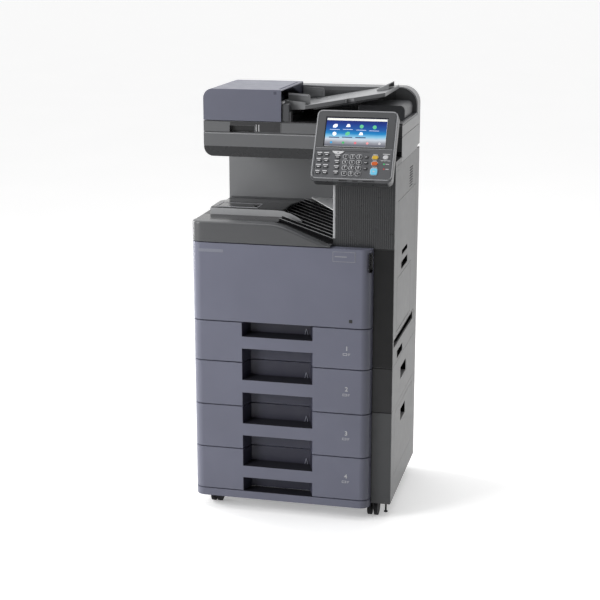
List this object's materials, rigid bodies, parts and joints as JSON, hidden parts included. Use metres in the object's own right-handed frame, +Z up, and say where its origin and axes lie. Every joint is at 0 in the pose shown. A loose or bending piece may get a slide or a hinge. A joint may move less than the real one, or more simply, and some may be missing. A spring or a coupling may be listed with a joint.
{
  "type": "photocopier",
  "caption": "Floor-standing colour photocopier with scanner, document processor, tilting touch panel, side doors and paper cassettes on a cabinet with casters.",
  "frame": {"origin": "on the floor, under the middle of the machine's outer box, operation panel included", "axes": "+Z up, +X to the operator's right, -Y towards the operator"},
  "size_m": [0.528, 0.459, 1.1229],
  "materials": {
    "front_plastic": "fine-grained blue-grey moulding",
    "cover_plastic": "fine-grained mid-grey moulding",
    "upper_plastic": "satin grey moulding",
    "dark_plastic": "satin near-black moulding",
    "pale_plastic": "pale grey moulding",
    "white_pad": "white sheet",
    "frame_steel": "dark satin paint on folded steel",
    "panel_plastic": "semi-gloss dark moulding",
    "key_plastic": "satin key caps",
    "start_lens": "translucent blue lens",
    "stop_cap": "satin yellow cap",
    "reset_cap": "satin orange cap",
    "screen_glass": "lit touch screen behind clear glass",
    "platen_pane": "clear float glass",
    "rubber": "matt black"
  },
  "bodies": {
    "machine": {"cabinet_frame": "frame_steel", "cabinet_left_cover": "cover_plastic", "cabinet_right_cover": "cover_plastic", "base_skirt": "front_plastic", "feeder_frame": "frame_steel", "feeder_left_cover": "cover_plastic", "feeder_right_cover": "cover_plastic", "main_frame": "frame_steel", "main_left_cover": "cover_plastic", "main_right_cover": "cover_plastic", "upper_front_panel": "upper_plastic", "output_tray": "dark_plastic", "rear_column": "upper_plastic", "front_pillar": "upper_plastic", "fusing_unit": "dark_plastic", "transfer_belt_unit": "dark_plastic", "toner_container_black": "dark_plastic", "toner_container_cyan": "dark_plastic", "toner_container_magenta": "dark_plastic", "toner_container_yellow": "dark_plastic", "scanner_housing": "upper_plastic", "platen_glass": "platen_pane", "panel_bracket": "dark_plastic"},
    "cassette_1": {"cassette_1_front": "front_plastic", "cassette_1_tray": "dark_plastic"},
    "cassette_2": {"cassette_2_front": "front_plastic", "cassette_2_tray": "dark_plastic"},
    "cassette_3": {"cassette_3_front": "front_plastic", "cassette_3_tray": "dark_plastic"},
    "cassette_4": {"cassette_4_front": "front_plastic", "cassette_4_tray": "dark_plastic"},
    "front_cover": {"front_cover": "front_plastic"},
    "engine_door": {"engine_door": "cover_plastic"},
    "multi_purpose_tray": {"multi_purpose_tray": "cover_plastic"},
    "cabinet_side_door": {"cabinet_side_door": "cover_plastic"},
    "scan_carriage": {"scan_carriage": "dark_plastic"},
    "document_processor": {"processor_base": "upper_plastic", "platen_mat": "white_pad", "feeder_mechanism": "upper_plastic"},
    "processor_cover": {"processor_cover": "front_plastic"},
    "pickup_roller": {"pickup_roller": "rubber"},
    "document_tray": {"document_tray": "pale_plastic"},
    "width_guide_front": {"width_guide_front": "upper_plastic"},
    "width_guide_rear": {"width_guide_rear": "upper_plastic"},
    "document_stopper": {"document_stopper": "pale_plastic"},
    "operation_panel": {"panel_housing": "panel_plastic", "touch_screen": "screen_glass", "key_mat": "key_plastic"},
    "stop_key": {"stop_key": "stop_cap"},
    "reset_key": {"reset_key": "reset_cap"},
    "start_key": {"start_key": "start_lens"},
    "power_key": {"power_key": "key_plastic"},
    "caster_front_left": {"caster_fork_front_left": "dark_plastic"},
    "caster_front_right": {"caster_fork_front_right": "dark_plastic"},
    "caster_rear_left": {"caster_fork_rear_left": "dark_plastic"},
    "caster_rear_right": {"caster_fork_rear_right": "dark_plastic"},
    "wheels_front_left": {"caster_wheels_front_left": "rubber"},
    "wheels_front_right": {"caster_wheels_front_right": "rubber"},
    "wheels_rear_left": {"caster_wheels_rear_left": "rubber"},
    "wheels_rear_right": {"caster_wheels_rear_right": "rubber"}
  },
  "joints": [
    {"name": "cassette_1_slide", "type": "slide", "parent": "machine", "child": "cassette_1", "axis": [0, -1, 0], "range_m": [0, 0.32]},
    {"name": "cassette_2_slide", "type": "slide", "parent": "machine", "child": "cassette_2", "axis": [0, -1, 0], "range_m": [0, 0.32]},
    {"name": "cassette_3_slide", "type": "slide", "parent": "machine", "child": "cassette_3", "axis": [0, -1, 0], "range_m": [0, 0.32]},
    {"name": "cassette_4_slide", "type": "slide", "parent": "machine", "child": "cassette_4", "axis": [0, -1, 0], "range_m": [0, 0.32]},
    {"name": "front_cover_hinge", "type": "hinge", "parent": "machine", "child": "front_cover", "pos_m": [-0.026, -0.1985, 0.5248], "axis": [1, 0, 0], "range_deg": [0, 90]},
    {"name": "engine_door_hinge", "type": "hinge", "parent": "machine", "child": "engine_door", "pos_m": [0.264, 0.1715, 0.665], "axis": [0, 0, 1], "range_deg": [0, 90]},
    {"name": "multi_purpose_tray_hinge", "type": "hinge", "parent": "engine_door", "child": "multi_purpose_tray", "pos_m": [0.261, -0.001, 0.504], "axis": [0, 1, 0], "range_deg": [0, 80]},
    {"name": "cabinet_side_door_hinge", "type": "hinge", "parent": "machine", "child": "cabinet_side_door", "pos_m": [0.264, 0.1695, 0.192], "axis": [0, 0, 1], "range_deg": [0, 90]},
    {"name": "scan_carriage_slide", "type": "slide", "parent": "machine", "child": "scan_carriage", "axis": [1, 0, 0], "range_m": [0, 0.35]},
    {"name": "document_processor_hinge", "type": "hinge", "parent": "machine", "child": "document_processor", "pos_m": [0, 0.2295, 1.001], "axis": [-1, 0, 0], "range_deg": [0, 70]},
    {"name": "processor_cover_hinge", "type": "hinge", "parent": "document_processor", "child": "processor_cover", "pos_m": [-0.261, 0.051, 1.0305], "axis": [0, -1, 0], "range_deg": [0, 75]},
    {"name": "pickup_roller_spin", "type": "hinge", "parent": "document_processor", "child": "pickup_roller", "pos_m": [-0.076, 0.0155, 1.085], "axis": [0, 1, 0], "continuous": true},
    {"name": "document_tray_hinge", "type": "hinge", "parent": "document_processor", "child": "document_tray", "pos_m": [-0.049, 0.062, 1.084], "axis": [0, -1, 0], "range_deg": [0, 25]},
    {"name": "width_guide_front_slide", "type": "slide", "parent": "document_tray", "child": "width_guide_front", "axis": [0, 1, 0], "range_m": [0, 0.06]},
    {"name": "width_guide_rear_slide", "type": "slide", "parent": "document_tray", "child": "width_guide_rear", "axis": [0, 1, 0], "range_m": [-0.06, 0]},
    {"name": "document_stopper_hinge", "type": "hinge", "parent": "document_tray", "child": "document_stopper", "pos_m": [0.176, 0.083, 1.1029], "axis": [0, -1, 0], "range_deg": [0, 60]},
    {"name": "operation_panel_tilt", "type": "hinge", "parent": "machine", "child": "operation_panel", "pos_m": [0.1615, -0.1505, 0.973], "axis": [-1, 0, 0], "range_deg": [-8, 20]},
    {"name": "stop_key_press", "type": "slide", "parent": "operation_panel", "child": "stop_key", "axis": [0, 0.8669, -0.4985], "range_m": [0, 0.0012], "stiffness_N_per_m": 500, "springref_m": -0.0008},
    {"name": "reset_key_press", "type": "slide", "parent": "operation_panel", "child": "reset_key", "axis": [0, 0.8669, -0.4985], "range_m": [0, 0.0012], "stiffness_N_per_m": 500, "springref_m": -0.0008},
    {"name": "start_key_press", "type": "slide", "parent": "operation_panel", "child": "start_key", "axis": [0, 0.8669, -0.4985], "range_m": [0, 0.0012], "stiffness_N_per_m": 500, "springref_m": -0.0008},
    {"name": "power_key_press", "type": "slide", "parent": "operation_panel", "child": "power_key", "axis": [0, 0.8669, -0.4985], "range_m": [0, 0.0012], "stiffness_N_per_m": 500, "springref_m": -0.0008},
    {"name": "caster_front_left_swivel", "type": "hinge", "parent": "machine", "child": "caster_front_left", "pos_m": [-0.216, -0.1285, 0.064], "axis": [0, 0, 1], "continuous": true},
    {"name": "caster_front_right_swivel", "type": "hinge", "parent": "machine", "child": "caster_front_right", "pos_m": [0.216, -0.1285, 0.064], "axis": [0, 0, 1], "continuous": true},
    {"name": "caster_rear_left_swivel", "type": "hinge", "parent": "machine", "child": "caster_rear_left", "pos_m": [-0.216, 0.1805, 0.064], "axis": [0, 0, 1], "continuous": true},
    {"name": "caster_rear_right_swivel", "type": "hinge", "parent": "machine", "child": "caster_rear_right", "pos_m": [0.216, 0.1805, 0.064], "axis": [0, 0, 1], "continuous": true},
    {"name": "wheels_front_left_roll", "type": "hinge", "parent": "caster_front_left", "child": "wheels_front_left", "pos_m": [-0.216, -0.1425, 0.024], "axis": [1, 0, 0], "continuous": true},
    {"name": "wheels_front_right_roll", "type": "hinge", "parent": "caster_front_right", "child": "wheels_front_right", "pos_m": [0.216, -0.1425, 0.024], "axis": [1, 0, 0], "continuous": true},
    {"name": "wheels_rear_left_roll", "type": "hinge", "parent": "caster_rear_left", "child": "wheels_rear_left", "pos_m": [-0.216, 0.1665, 0.024], "axis": [1, 0, 0], "continuous": true},
    {"name": "wheels_rear_right_roll", "type": "hinge", "parent": "caster_rear_right", "child": "wheels_rear_right", "pos_m": [0.216, 0.1665, 0.024], "axis": [1, 0, 0], "continuous": true}
  ],
  "couplings": [
    {"joint": "width_guide_rear_slide", "follows": "width_guide_front_slide", "ratio": -1}
  ]
}
